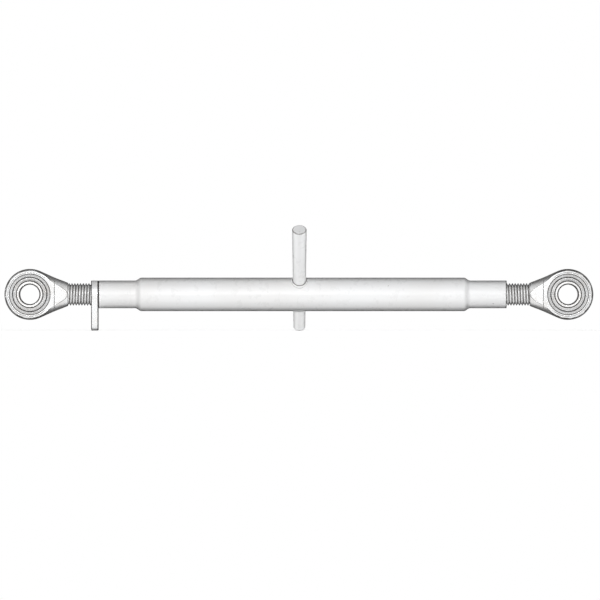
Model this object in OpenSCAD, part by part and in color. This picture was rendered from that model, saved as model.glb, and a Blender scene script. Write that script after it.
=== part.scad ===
// Turnbuckle top link: a swaged barrel between two swivel ball ends, with a cross handle that
// turns the barrel and a lock lever that jams it. The origin is the centre of the left ball's
// pin bore: +X along the link to the right end, +Y along the pin bores, +Z up. Millimetres.

/* [Barrel] */
// Length of the barrel over its two end faces
barrel_len = 406.4; // [340:0.1:460]
// Outside diameter of the full-size middle of the barrel
barrel_d = 33.4; // [31:0.1:38]
// Inside diameter of the full-size middle
barrel_bore_d = 24.3; // [23.6:0.1:27]
// Outside diameter of the swaged necks
neck_d = 27.6; // [26.5:0.1:30]
// Length of each swaged neck, which is tapped all the way through
neck_len = 36.4; // [28:0.1:50]
// Length of the swaged shoulder between a neck and the full-size middle
shoulder_len = 6.2; // [4:0.1:14]
// Bevel round the outer edge of each end face
barrel_bevel = 0.5; // [0.2:0.1:1.2]

/* [Thread] */
// Major diameter of both screws: left-hand on the left end, right-hand on the right end
thread_d = 22.2; // [20:0.1:22.6]
// Pitch of both screws
thread_pitch = 2.822; // [1.5:0.001:3.5]
// Length of each screw, from the end of the eye's neck to the screw's tip
screw_len = 145; // [120:0.5:180]
// Length of screw in view beside each eye at the length that the link is set to here
screw_show = 23.1; // [20:0.1:90]

/* [Eye] */
// Outside diameter of each eye
eye_d = 50.8; // [49:0.1:60]
// Thickness of each eye over its two flats
eye_t = 25; // [23:0.1:28]
// Draft of the rim to each side of the forging's parting plane, in degrees
eye_draft = 5; // [0:0.5:7]
// Radius between the rim and each flat
eye_rim_r = 1.8; // [0.5:0.1:2.4]
// Distance from an eye's centre to the end of its conical neck
eye_reach = 38; // [35:0.1:46]
// Diameter of the conical neck where the screw leaves it
cone_end_d = 22.8; // [22.8:0.1:26]
// Distance from an eye's centre to the crease where its flats start to draw in
crease_at = 24.4; // [22:0.1:30]
// Amount that each flat draws in from the crease to the end of the neck
draw_in = 0.9; // [0.2:0.1:1.5]
// Depth of the swaged dish below each flat of the eye
dish_depth = 2; // [0.8:0.1:2.5]
// Width of the swaged dish, from the mouth of the socket to the dish's outer edge
dish_w = 3.2; // [1.5:0.1:3.4]

/* [Ball] */
// Diameter of each swivel ball
ball_d = 40; // [38.5:0.1:41]
// Width of each ball over the faces of its two hubs
ball_w = 44; // [38:0.1:52]
// Diameter of the two hubs on each ball
hub_d = 26.9; // [24:0.1:28.5]
// Bevel round the outer edge of each hub
hub_bevel = 0.8; // [0.2:0.1:1.5]
// Diameter of the pin bore, for a hitch pin of 19 millimetres
pin_bore_d = 19.4; // [16:0.1:21]
// Bevel at each mouth of the pin bore
bore_bevel = 0.6; // [0.2:0.1:1]

/* [Handle] */
// Length of the handle bar above the barrel's axis, along the bar
handle_up_len = 84.4; // [55:0.1:120]
// Length of the handle bar below the barrel's axis, along the bar
handle_low_len = 43.4; // [28:0.1:70]
// Diameter of the bar at its thick upper end
handle_top_d = 14.4; // [13:0.1:17]
// Diameter of the bar at its thin lower end
handle_low_d = 11.6; // [9:0.1:12.8]
// Distance from the barrel's middle to the bar, towards the left end
handle_off = 3.2; // [0:0.1:40]
// Lean of the bar's upper end away from upright, towards -Y
handle_lean = 40; // [0:1:75]
// Radius round the edge of both ends of the bar
handle_end_r = 1.4; // [0.3:0.1:4]
// Leg of the weld beads between the bar and the barrel
weld_leg = 2; // [1.5:0.1:5]

/* [Lock lever] */
// Thickness of the lock lever's plate
lever_t = 7.3; // [5:0.1:12]
// Width of the lever's head
lever_head_w = 32; // [30:0.1:44]
// Distance from the screw's axis up to the flat top of the lever's head
lever_top = 13.8; // [12.8:0.1:14.8]
// Distance from the screw's axis down to the tip of the lever
lever_drop = 36; // [28:0.1:70]
// Width of the lever at its rounded tip
lever_tip_w = 19; // [10:0.1:24]
// Bevel along the edges of the lever's two faces
lever_bevel = 0.6; // [0.2:0.1:1.2]

/* [Clearances] */
// Gap all round between a screw and the tapped holes that it turns in
thread_clear = 0.2; // [0.05:0.01:0.25]
// Gap all round between a ball and its socket
ball_clear = 0.15; // [0.05:0.01:0.3]
// Gap between the lock lever and the barrel's end face
jam_gap = 0.1; // [0.05:0.01:0.5]
// Gap between a weld bead and the faces that it lies on
weld_seat = 0.05; // [0.03:0.01:0.1]

/* [Hidden] */
$fn = 96;
over = 1;                              // how far a cutter runs past the face that it opens
thread_depth = 0.6134 * thread_pitch;  // depth of a 60 degree thread
round_steps = 6;                       // chords in a quarter of a rounded edge
tapped_r = thread_d / 2 + thread_clear;
lever_x = eye_reach + screw_show;
barrel_x = lever_x + lever_t + jam_gap;
right_eye_x = barrel_x + barrel_len + screw_show + eye_reach;
handle_x = barrel_x + barrel_len / 2 - handle_off;
eye_r = eye_d / 2;
half_t = eye_t / 2;
socket_r = ball_d / 2 + ball_clear;
mouth_y = half_t - dish_depth;
mouth_r = sqrt(socket_r * socket_r - mouth_y * mouth_y);
handle_taper = (handle_top_d - handle_low_d) / 2 / (handle_up_len + handle_low_len);

// Turns a shape whose axis is Z so that its axis is X
module along_x() { rotate([0, 90, 0]) children(); }

// Turns a shape whose axis is Z so that its axis is Y
module along_y() { rotate([-90, 0, 0]) children(); }

// Places a shape as it stands, and again turned half round about X
module both_faces() {
    for (turn = [0, 180]) rotate([turn, 0, 0]) children();
}

// Solid of revolution about Z under a line of [radius, height] points
module turned(line) {
    last = line[len(line) - 1];
    rotate_extrude() polygon(concat([[0, line[0].y]], line, [[0, last.y]]));
}

// Points of an arc about a centre, between two angles
function arc(centre, r, from, to, steps) =
    [for (i = [0 : steps]) let (a = from + (to - from) * i / steps) centre + r * [cos(a), sin(a)]];

// Swaged shoulder as a half wave from radius a to radius b, starting at distance x
function shoulder(a, b, x, steps = 10) =
    [for (i = [0 : steps]) [(a + b) / 2 + (a - b) / 2 * cos(180 * i / steps),
                            x + shoulder_len * i / steps]];

// Line along the barrel with necks of one radius and a middle of another, from the left face
function swaged_line(neck_r, middle_r, x0, x1) = concat(
    [[neck_r, x0]],
    shoulder(neck_r, middle_r, neck_len),
    shoulder(middle_r, neck_r, barrel_len - neck_len - shoulder_len),
    [[neck_r, x1]]);

// Bevelled mouth of a tapped hole, which opens towards -Z at height 0
module tapped_mouth() {
    depth = thread_depth / 2;
    translate([0, 0, -over]) cylinder(h = depth + over, r1 = tapped_r + depth + over, r2 = tapped_r);
}

// Radius of the handle bar at a height above the barrel's axis, along the bar
function bar_r(height) = handle_low_d / 2 + handle_taper * (height + handle_low_len);

// The handle bar at its lean, with its axis through the origin and both ends rounded
module handle_bar() {
    r = handle_end_r;
    low = r - handle_low_len;
    up = handle_up_len - r;
    rotate([handle_lean, 0, 0])
        turned(concat(arc([bar_r(low) - r, low], r, -90, 0, round_steps),
                      arc([bar_r(up) - r, up], r, 0, 90, round_steps)));
}

module barrel() {
    outer = swaged_line(neck_d / 2, barrel_d / 2, barrel_bevel, barrel_len - barrel_bevel);
    end_r = neck_d / 2 - barrel_bevel;
    color("gainsboro") translate([barrel_x, 0, 0]) difference() {
        along_x() turned(concat([[end_r, 0]], outer, [[end_r, barrel_len]]));
        along_x() turned(swaged_line(tapped_r, barrel_bore_d / 2, -over, barrel_len + over));
        along_x() tapped_mouth();
        translate([barrel_len, 0, 0]) rotate([0, 0, 180]) along_x() tapped_mouth();
        translate([handle_x - barrel_x, 0, 0]) handle_bar();
    }
}

module turning_handle() {
    color("gainsboro") translate([handle_x, 0, 0]) handle_bar();
}

// Height of the barrel's surface above its axis, at a radius and an angle round the bar
function saddle(radius, angle) = sqrt(pow(barrel_d / 2, 2) - pow(radius * sin(angle), 2));

// Weld bead that follows the saddle line between the bar and the barrel, on one side of the
// barrel: 1 for the side of the bar's thick end, -1 for the other. Its section runs from the toe
// on the barrel over the crown to the toe on the bar, as shares of the leg.
module weld_bead(side, stations = 48) {
    section = [[1, 0], [0.9, 0.28], [0.62, 0.62], [0.28, 0.9], [0, 1], [0, 0], [0.5, 0]];
    count = len(section);
    points = [for (i = [0 : stations - 1], p = section)
        let (angle = 360 * i / stations,
             foot = bar_r(side * barrel_d / 2) + weld_seat,
             radius = foot + p.x * weld_leg)
        [radius * cos(angle), radius * sin(angle),
         saddle(radius, angle) + weld_seat + p.y * weld_leg]];
    faces = [for (i = [0 : stations - 1], j = [0 : count - 1])
        let (next_i = (i + 1) % stations, next_j = (j + 1) % count)
        [i * count + j, i * count + next_j, next_i * count + next_j, next_i * count + j]];
    color("gainsboro") translate([handle_x, 0, 0]) rotate([handle_lean, 0, 0])
        mirror([0, 0, side < 0 ? 1 : 0]) polyhedron(points, faces);
}

module upper_handle_weld() { weld_bead(1); }

module lower_handle_weld() { weld_bead(-1); }

// Outline of the lock lever as seen along its screw: a round head cut flat on top, tangent
// sides and a round tip, all drawn in by a margin
module lever_outline(margin) {
    head_r = lever_head_w / 2 - margin;
    tip_r = lever_tip_w / 2 - margin;
    span = lever_drop - lever_tip_w / 2;
    lean = asin((head_r - tip_r) / span);
    side = [cos(lean), -sin(lean)];
    difference() {
        union() {
            circle(r = head_r);
            translate([0, -span]) circle(r = tip_r);
            polygon([[-head_r * side.x, head_r * side.y], [-tip_r * side.x, tip_r * side.y - span],
                     [tip_r * side.x, tip_r * side.y - span], [head_r * side.x, head_r * side.y]]);
        }
        translate([-head_r, lever_top - margin]) square([2 * head_r, head_r]);
    }
}

module lock_lever() {
    color("silver") translate([lever_x, 0, 0]) difference() {
        rotate([90, 0, 90]) {
            translate([0, 0, lever_bevel]) linear_extrude(lever_t - 2 * lever_bevel) lever_outline(0);
            linear_extrude(lever_t) lever_outline(lever_bevel);
        }
        along_x() translate([0, 0, -over]) cylinder(h = lever_t + 2 * over, r = tapped_r);
        along_x() tapped_mouth();
        translate([lever_t, 0, 0]) rotate([0, 0, 180]) along_x() tapped_mouth();
    }
}

// Round body of an eye. Its rim is largest on the parting plane, falls away by the draft to both
// sides, and runs into the flats in a round that is tangent to both.
module eye_disc() {
    side_h = half_t - eye_rim_r;
    edge_h = side_h + eye_rim_r * sin(eye_draft);
    flat_r = eye_r - edge_h * tan(eye_draft) - eye_rim_r * cos(eye_draft);
    along_y() turned(concat(arc([flat_r, -side_h], eye_rim_r, -90, -eye_draft, round_steps),
                            [[eye_r, 0]],
                            arc([flat_r, side_h], eye_rim_r, eye_draft, 90, round_steps)));
}

// Conical neck, tangent to the eye's rim and cut by its flats, which draw in past the crease
module eye_neck() {
    end = [eye_reach, cone_end_d / 2];
    angle = atan2(end.y, end.x) + acos(eye_r / norm(end));
    start = eye_r * [cos(angle), sin(angle)];
    intersection() {
        along_x() turned([[start.y, start.x], [end.y, end.x]]);
        translate([0, 0, -eye_r]) linear_extrude(eye_d)
            polygon([[0, -half_t], [crease_at, -half_t], [eye_reach + over, draw_in - half_t],
                     [eye_reach + over, half_t - draw_in], [crease_at, half_t], [0, half_t]]);
    }
}

// Screw with a bevelled tip, at its major diameter
module screw() {
    r = thread_d / 2;
    tip = eye_reach + screw_len;
    along_x() turned([[r, eye_reach - over], [r, tip - thread_depth], [r - thread_depth, tip]]);
}

// Room for the ball: a spherical seat, and the swaged dish round its mouth on both flats
module socket() {
    along_y() sphere(r = socket_r);
    both_faces() along_y() {
        translate([0, 0, mouth_y]) cylinder(h = dish_depth, r1 = mouth_r, r2 = mouth_r + dish_w);
        translate([0, 0, half_t]) cylinder(h = over, r = mouth_r + dish_w);
    }
}

// Eye, neck and screw forged in one piece, with the eye at the origin and the screw along +X
module ball_end() {
    color("silver") difference() {
        union() {
            eye_disc();
            eye_neck();
            screw();
        }
        socket();
    }
}

// Swivel ball with a hub on each side, bored for the hitch pin, at the origin
module ball() {
    half_w = ball_w / 2;
    hub_r = hub_d / 2;
    color("lightsteelblue") along_y() difference() {
        union() {
            sphere(r = ball_d / 2);
            turned([[hub_r - hub_bevel, -half_w], [hub_r, hub_bevel - half_w],
                    [hub_r, half_w - hub_bevel], [hub_r - hub_bevel, half_w]]);
        }
        translate([0, 0, -half_w - over]) cylinder(h = ball_w + 2 * over, d = pin_bore_d);
        both_faces() translate([0, 0, half_w - bore_bevel])
            cylinder(h = bore_bevel + over, r1 = pin_bore_d / 2, r2 = pin_bore_d / 2 + bore_bevel + over);
    }
}

// Places a ball end's or a ball's shape at the right eye, with its screw towards the barrel
module at_right_eye() { translate([right_eye_x, 0, 0]) rotate([0, 0, 180]) children(); }

module left_ball_end() { ball_end(); }

module left_ball() { ball(); }

module right_ball_end() { at_right_eye() ball_end(); }

module right_ball() { at_right_eye() ball(); }

barrel();
turning_handle();
upper_handle_weld();
lower_handle_weld();
lock_lever();
left_ball_end();
left_ball();
right_ball_end();
right_ball();
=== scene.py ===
"""Dresses a turnbuckle top link: swaged barrel, cross handle, lock lever and two swivel ball ends.

Each piece is a surface worked out with numpy on a grid of two parameters. Everything is in metres
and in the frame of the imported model: +X along the link, +Y along the pin bores, +Z up, with the
origin at the centre of the left ball.
"""
import logging
import math
from dataclasses import dataclass
from enum import Enum
from typing import Callable, Optional, Sequence, Union

import bmesh
import bpy
import numpy as np
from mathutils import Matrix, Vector


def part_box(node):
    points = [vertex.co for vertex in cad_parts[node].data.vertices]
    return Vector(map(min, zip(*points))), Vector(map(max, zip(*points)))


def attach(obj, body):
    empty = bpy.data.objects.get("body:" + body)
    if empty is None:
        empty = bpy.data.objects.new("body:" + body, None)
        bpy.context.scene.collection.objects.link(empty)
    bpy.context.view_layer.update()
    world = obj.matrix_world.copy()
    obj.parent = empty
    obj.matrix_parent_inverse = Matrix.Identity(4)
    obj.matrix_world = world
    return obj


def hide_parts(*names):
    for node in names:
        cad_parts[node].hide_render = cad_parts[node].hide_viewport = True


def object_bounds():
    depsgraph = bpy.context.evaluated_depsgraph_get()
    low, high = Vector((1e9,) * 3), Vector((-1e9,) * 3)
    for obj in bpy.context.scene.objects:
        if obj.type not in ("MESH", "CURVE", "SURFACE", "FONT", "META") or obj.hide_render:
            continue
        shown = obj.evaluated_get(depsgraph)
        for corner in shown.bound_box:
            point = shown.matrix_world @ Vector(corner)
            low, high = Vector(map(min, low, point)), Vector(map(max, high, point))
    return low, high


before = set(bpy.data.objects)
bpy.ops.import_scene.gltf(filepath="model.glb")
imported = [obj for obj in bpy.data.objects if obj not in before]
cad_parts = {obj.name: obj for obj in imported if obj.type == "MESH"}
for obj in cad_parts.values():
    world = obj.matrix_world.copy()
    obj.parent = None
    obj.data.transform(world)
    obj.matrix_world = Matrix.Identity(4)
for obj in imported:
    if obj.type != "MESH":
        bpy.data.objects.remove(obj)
cad_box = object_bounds()

MM = 0.001
TURN = 2 * math.pi
BEND = "bend"

Value = Union[float, Sequence[float], bpy.types.NodeSocket]
Colour = tuple[float, float, float, float]
Range = tuple[float, float]
Surface = tuple[np.ndarray, np.ndarray]
log = logging.getLogger("top_link")


class Hand(Enum):
    """Hand of a screw thread: the sign of its advance along +X for a turn about +X."""

    LEFT = -1
    RIGHT = 1


class Slot(Enum):
    """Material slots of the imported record."""

    BARREL = "barrel_enamel"
    LEVER = "lever_zinc"
    FORGING = "forging_zinc"
    BALL = "ball_steel"


class Side(Enum):
    """Side of the barrel that a weld bead lies on, along the handle bar."""

    THICK_END = 1
    THIN_END = -1


# Profiles and surfaces

def rounded(corners: Sequence[tuple[float, float, float]], steps: int = 6) -> np.ndarray:
    """Rounds the inner corners of a line. Each arc's centre lies on its corner's bisector, at
    the radius over the sine of half the corner's angle, so that the arc touches both sides.

    Args:
        corners: (first, second, radius) of each corner, with radius 0 for a sharp one.
        steps: Number of chords in each arc.

    Returns:
        Points of the line, one row each.
    """
    points = [np.array(corners[0][:2])]
    for before, corner, after in zip(corners, corners[1:], corners[2:]):
        here, radius = np.array(corner[:2]), corner[2]
        if radius <= 0:
            points.append(here)
            continue
        back = np.array(before[:2]) - here
        ahead = np.array(after[:2]) - here
        back, ahead = back / np.linalg.norm(back), ahead / np.linalg.norm(ahead)
        half = math.acos(float(np.clip(back @ ahead, -1, 1))) / 2
        bisector = (back + ahead) / np.linalg.norm(back + ahead)
        centre = here + bisector * radius / math.sin(half)
        first = here + back * radius / math.tan(half) - centre
        last = here + ahead * radius / math.tan(half) - centre
        start = math.atan2(first[1], first[0])
        sweep = (math.atan2(last[1], last[0]) - start + math.pi) % TURN - math.pi
        angles = start + sweep * np.linspace(0, 1, steps + 1)
        points.extend(centre + radius * np.column_stack([np.cos(angles), np.sin(angles)]))
    points.append(np.array(corners[-1][:2]))
    return np.array(points)


def revolved(profile: np.ndarray, columns: int) -> np.ndarray:
    """Turns a profile about Z: a point is (radius cos a, radius sin a, height).

    Args:
        profile: Rows of (radius, height).
        columns: Number of places round the turn.

    Returns:
        Grid of points, one row for each point of the profile.
    """
    angle = np.linspace(0, TURN, columns, endpoint=False)
    radius, height = profile[:, :1], profile[:, 1:]
    return np.stack([radius * np.cos(angle), radius * np.sin(angle), height + 0 * angle], axis=-1)


def along_x(points: np.ndarray) -> np.ndarray:
    """Turns points from a frame whose axis is Z to one whose axis is X."""
    return np.stack([points[..., 2], points[..., 1], -points[..., 0]], axis=-1)


def along_y(points: np.ndarray) -> np.ndarray:
    """Turns points from a frame whose axis is Z to one whose axis is Y."""
    return np.stack([points[..., 0], points[..., 2], -points[..., 1]], axis=-1)


def blended_max(a: np.ndarray, b: np.ndarray, width: float) -> np.ndarray:
    """Larger of two distances, with the edge between them rounded over a width."""
    near = np.clip(1 - np.abs(a - b) / width, 0, 1)
    return np.maximum(a, b) + near * near * width / 4


def blended_min(a: np.ndarray, b: np.ndarray, width: float) -> np.ndarray:
    """Smaller of two distances, with the corner between them filled over a width."""
    return -blended_max(-a, -b, width)


def halved(inside: Callable[[np.ndarray], np.ndarray], low: np.ndarray, high: np.ndarray,
           rounds: int) -> np.ndarray:
    """Finds how far a test holds along each stretch, by halving the stretch again and again.

    Args:
        inside: The test, on an array of places.
        low: Start of each stretch, which is the answer where the test holds nowhere.
        high: End of each stretch, where the test fails.
        rounds: Number of halvings.

    Returns:
        The last place at which it holds, in each stretch.
    """
    for _ in range(rounds):
        middle = (low + high) / 2
        held = inside(middle)
        low, high = np.where(held, middle, low), np.where(held, high, middle)
    return low


def bends(line: np.ndarray, width: float = 0.5 * MM) -> np.ndarray:
    """How far a closed line bends near each of its points, as a share of a right angle: positive
    over an outer edge and negative in a corner. It is the turning of the line's direction, summed
    along the line, a width past the point less the same a width before it.

    Args:
        line: Points of the line, one row each, without a repeat of the first.
        width: Length either side of a point over which the bend counts.

    Returns:
        The share at each point.
    """
    steps = np.roll(line, -1, axis=0) - line
    heading = np.arctan2(steps[:, 1], steps[:, 0])
    turning = (heading - np.roll(heading, 1) + math.pi) % TURN - math.pi
    length = np.hypot(*steps.T)
    place = np.cumsum(length) - length
    places = np.concatenate([place - length.sum(), place, place + length.sum()])
    summed = np.cumsum(np.tile(turning, 3)) * np.sign(turning.sum()) / (math.pi / 2)
    return np.interp(place + width, places, summed) - np.interp(place - width, places, summed)


def shouldered(line: np.ndarray, gap: float = 0.6 * MM) -> np.ndarray:
    """Adds a point a gap inside each end of every long side of an open line, so that a bend which
    is stored with the points stays near its corner.

    Args:
        line: Points of the line, one row each.
        gap: Distance of the new points from the ends of their side.

    Returns:
        The longer line.
    """
    step = np.diff(line, axis=0)
    length = np.hypot(*step.T)[:, None]
    inside = step * gap / np.maximum(length, 3 * gap)
    points = np.stack([line[:-1], line[:-1] + inside, line[1:] - inside], axis=1)
    roomy = length > 3 * gap
    keep = np.concatenate([np.ones_like(roomy), roomy, roomy], axis=1)
    return np.concatenate([points[keep], line[-1:]])


class Skin:
    """A closed mesh put together from grids of points and the fans that close their ends."""

    def __init__(self) -> None:
        """Starts with no points."""
        self.points: list[np.ndarray] = []
        self.bends: list[np.ndarray] = []
        self.faces: list[list[int]] = []
        self.count = 0

    def add(self, points: np.ndarray, bend: Union[float, np.ndarray] = 0.0) -> np.ndarray:
        """Adds points with their bends.

        Args:
            points: Places in any layout, with x, y and z last.
            bend: Bend at each, or one for all.

        Returns:
            Numbers of the points, in the same layout.
        """
        flat = points.reshape(-1, 3)
        numbers = self.count + np.arange(len(flat)).reshape(points.shape[:-1])
        self.points.append(flat)
        self.bends.append(np.broadcast_to(bend, points.shape[:-1]).ravel())
        self.count += len(flat)
        return numbers

    def grid(self, points: np.ndarray, bend: Union[float, np.ndarray] = 0.0, wrap_rows: bool = False,
             wrap_columns: bool = True) -> np.ndarray:
        """Adds a grid of quads.

        Args:
            points: Grid of points, as (rows, columns, 3).
            bend: Bend of the surface at each point, as the finishes read it to find edges.
            wrap_rows: Whether the last row joins the first.
            wrap_columns: Whether the last column joins the first.

        Returns:
            Numbers of the points, as (rows, columns).
        """
        numbers = self.add(points, bend)
        wide = np.concatenate([numbers, numbers[:, :1]], axis=1) if wrap_columns else numbers
        full = np.concatenate([wide, wide[:1]]) if wrap_rows else wide
        quads = np.stack([full[:-1, :-1], full[1:, :-1], full[1:, 1:], full[:-1, 1:]], axis=-1)
        self.faces.extend(quads.reshape(-1, 4).tolist())
        return numbers

    def fan(self, ring: np.ndarray, centre: Sequence[float]) -> None:
        """Closes a ring of points with triangles to a centre.

        Args:
            ring: Numbers of the ring's points.
            centre: Place of the centre.
        """
        middle = self.add(np.array([centre], float))
        hub = np.full(len(ring), middle[0])
        self.faces.extend(np.stack([ring, np.roll(ring, -1), hub], axis=-1).tolist())

    def build(self, name: str, material: bpy.types.Material, crease: float = 34.0,
              weld: float = 0.0) -> bpy.types.Object:
        """Makes the object, with its faces outwards.

        Args:
            name: Name of the piece.
            material: Its finish.
            crease: Angle in degrees past which an edge stays sharp.
            weld: Distance under which points are merged, or 0.

        Returns:
            The new object, at the origin.
        """
        mesh = bpy.data.meshes.new(name)
        mesh.from_pydata(np.concatenate(self.points).tolist(), [], self.faces)
        stored = mesh.attributes.new(BEND, "FLOAT", "POINT")
        stored.data.foreach_set("value", np.concatenate(self.bends).astype(np.float32))
        work = bmesh.new()
        work.from_mesh(mesh)
        if weld > 0:
            bmesh.ops.remove_doubles(work, verts=work.verts, dist=weld)
            bmesh.ops.dissolve_degenerate(work, edges=work.edges, dist=weld)
        bmesh.ops.recalc_face_normals(work, faces=work.faces)
        work.to_mesh(mesh)
        work.free()
        mesh.polygons.foreach_set("use_smooth", np.ones(len(mesh.polygons), bool))
        mesh.set_sharp_from_angle(angle=math.radians(crease))
        mesh.materials.append(material)
        piece = bpy.data.objects.new(name, mesh)
        bpy.context.scene.collection.objects.link(piece)
        return piece


def closed(name: str, surface: Surface, material: bpy.types.Material,
           crease: float = 34.0) -> bpy.types.Object:
    """Makes a piece from a grid that is closed both ways.

    Args:
        name: Name of the piece.
        surface: Grid of points, and the bend at each.
        material: Its finish.
        crease: Angle in degrees past which an edge stays sharp.

    Returns:
        The piece.
    """
    skin = Skin()
    skin.grid(*surface, wrap_rows=True)
    return skin.build(name, material, crease)


# Finishes

# Ranges of a noise over which a tone and a roughness change, the shares of its own value between
# which a roughness varies, and how far noise shifts the border of the darkened edges, which are
# partly wear and partly painted edge shade
CLOUDED = (0.35, 0.7)
VARIED = (0.3, 0.75)
GLOSS_SHARES = (0.8, 1.4)
RAGGEDNESS = 0.25


def grey(value: float, warmth: float = 0.0) -> Colour:
    """A grey of some lightness, a little warmer or cooler."""
    return (value * (1 + warmth), value, value * (1 - warmth), 1.0)


class Nodes:
    """A node tree, put together socket by socket."""

    def __init__(self, tree: bpy.types.NodeTree) -> None:
        """Takes the tree and adds its coordinates."""
        self.tree = tree
        self.coordinate = self.node("ShaderNodeTexCoord")

    def node(self, kind: str, inputs: Optional[dict] = None, **settings: object) -> bpy.types.Node:
        """Adds a node.

        Args:
            kind: The node's type name.
            inputs: Value or socket for each input, by name or number.
            settings: Attributes of the node.

        Returns:
            The node.
        """
        node = self.tree.nodes.new(kind)
        for key, value in settings.items():
            setattr(node, key, value)
        for key, value in (inputs or {}).items():
            self.plug(node.inputs[key], value)
        return node

    def plug(self, socket: bpy.types.NodeSocket, value: Value) -> None:
        """Links a socket's value, or sets it where it is the same all over."""
        if isinstance(value, bpy.types.NodeSocket):
            self.tree.links.new(value, socket)
        else:
            socket.default_value = value

    def part(self, vector: bpy.types.NodeSocket, axis: str) -> bpy.types.NodeSocket:
        """One component of a vector."""
        return self.node("ShaderNodeSeparateXYZ", {0: vector}).outputs[axis]

    def span(self, value: Value, low: float, high: float, start: float = 0.0,
             end: float = 1.0) -> bpy.types.NodeSocket:
        """Maps a value smoothly from one range to another, and clamps it.

        Args:
            value: The value.
            low: Value that gives start.
            high: Value that gives end.
            start: Result at low.
            end: Result at high.

        Returns:
            The mapped value's socket.
        """
        node = self.node("ShaderNodeMapRange", {
            "Value": value, "From Min": low, "From Max": high, "To Min": start, "To Max": end},
            interpolation_type="SMOOTHSTEP")
        return node.outputs["Result"]


class Recipe(Nodes):
    """The node tree of a material."""

    def __init__(self, name: str) -> None:
        """Starts a material with a plain shader.

        Args:
            name: Name of the material.
        """
        self.material = bpy.data.materials.new(name)
        self.material.use_nodes = True
        super().__init__(self.material.node_tree)
        self.shader = self.tree.nodes["Principled BSDF"]

    def place(self, centre: Sequence[float] = (0, 0, 0),
              stretch: Sequence[float] = (1, 1, 1)) -> bpy.types.NodeSocket:
        """Object coordinates measured from a centre, and stretched.

        Args:
            centre: Point that becomes the origin.
            stretch: Factor along each axis.

        Returns:
            The coordinates' socket.
        """
        shift = [-c * s for c, s in zip(centre, stretch)]
        mapping = self.node("ShaderNodeMapping", {
            "Vector": self.coordinate.outputs["Object"], "Location": shift, "Scale": stretch})
        return mapping.outputs["Vector"]

    def noise(self, size: float, detail: float = 3, stretch: Sequence[float] = (1, 1, 1),
              roughness: float = 0.5) -> bpy.types.NodeSocket:
        """Noise of a given size of blotch in metres, stretched along the axes."""
        texture = self.node("ShaderNodeTexNoise", {
            "Vector": self.place(stretch=stretch), "Scale": 1 / size, "Detail": detail,
            "Roughness": roughness})
        return texture.outputs["Fac"]

    def pits(self, size: float) -> bpy.types.NodeSocket:
        """Distance to the nearest of scattered points, for pits of a given spacing in metres."""
        texture = self.node("ShaderNodeTexVoronoi", {"Vector": self.place(), "Scale": 1 / size})
        return texture.outputs["Distance"]

    def math(self, operation: str, *values: Value) -> bpy.types.NodeSocket:
        """Result of a Math node on one to three values."""
        return self.node("ShaderNodeMath", dict(enumerate(values)), operation=operation).outputs[0]

    def rest(self, mask: Value) -> bpy.types.NodeSocket:
        """What a mask leaves over: one less the mask."""
        return self.math("SUBTRACT", 1.0, mask)

    def distance(self, keep: Sequence[float],
                 centre: Sequence[float] = (0, 0, 0)) -> bpy.types.NodeSocket:
        """Length of the place from a centre, counting only some axes.

        Args:
            keep: 1 for each axis that counts, and 0 for each that is left out.
            centre: The point to measure from.

        Returns:
            The distance's socket, in metres.
        """
        node = self.node("ShaderNodeVectorMath", {0: self.place(centre, keep)}, operation="LENGTH")
        return node.outputs["Value"]

    def facing(self, axis: str, low: float, high: float) -> bpy.types.NodeSocket:
        """1 where the surface faces along an axis, and 0 where it is well askew to it.

        Args:
            axis: "X", "Y" or "Z" of the piece.
            low: Cosine of the angle at which the mask ends.
            high: Cosine of the angle at which it is full.

        Returns:
            The mask's socket.
        """
        along = self.part(self.coordinate.outputs["Normal"], axis)
        return self.span(self.math("ABSOLUTE", along), low, high)

    def bend(self) -> bpy.types.NodeSocket:
        """The bend stored with the points."""
        return self.node("ShaderNodeAttribute", attribute_name=BEND).outputs["Fac"]

    def edges(self, wear_and_shade: Range, patch: float = 2 * MM) -> bpy.types.NodeSocket:
        """Mask of the edges that are darkened where the surface bends outwards: partly handling wear,
        partly painted shade along the edges.

        Args:
            wear_and_shade: Bend at which the darkening starts, and at which it is full.
            patch: Size of the blotches that make its border ragged.

        Returns:
            The mask's socket.
        """
        blotch = self.math("SUBTRACT", self.noise(patch, detail=4), 0.5)
        return self.span(self.math("MULTIPLY_ADD", blotch, RAGGEDNESS, self.bend()), *wear_and_shade)

    def corners(self, low: float = 0.15, high: float = 0.5) -> bpy.types.NodeSocket:
        """Mask of the corners that are darkened, where the surface bends inwards: painted shade,
        partly grime.
        """
        return self.span(self.bend(), -low, -high)

    def blend(self, share: Value, first: Value, second: Value) -> bpy.types.NodeSocket:
        """Mixes two colours.

        Args:
            share: Share of the second.
            first: The first colour.
            second: The second colour.

        Returns:
            The colour's socket.
        """
        mix = self.node("ShaderNodeMix", data_type="RGBA")
        for number, value in zip((0, 6, 7), (share, first, second)):
            self.plug(mix.inputs[number], value)
        return mix.outputs[2]

    def cloudy(self, noise: Value, lightness: float, darker: float,
               warmth: Range) -> bpy.types.NodeSocket:
        """Blends a grey into a darker one by a noise.

        Args:
            noise: The noise.
            lightness: Lightness of the first grey.
            darker: Lightness of the second, as a share of the first's.
            warmth: Warmth of the first and of the second.

        Returns:
            The colour's socket.
        """
        first, second = grey(lightness, warmth[0]), grey(lightness * darker, warmth[1])
        return self.blend(self.span(noise, *CLOUDED), first, second)

    def gloss(self, noise: Value, roughness: float) -> bpy.types.NodeSocket:
        """Roughness that varies with a noise, between two shares of its own value."""
        low, high = GLOSS_SHARES
        return self.span(noise, *VARIED, roughness * low, roughness * high)

    def rings(self, away: Value, mark: float) -> bpy.types.NodeSocket:
        """Waves a mark apart along a distance, as a cutting tool leaves them."""
        return self.math("SINE", self.math("MULTIPLY", away, TURN / mark))

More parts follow.
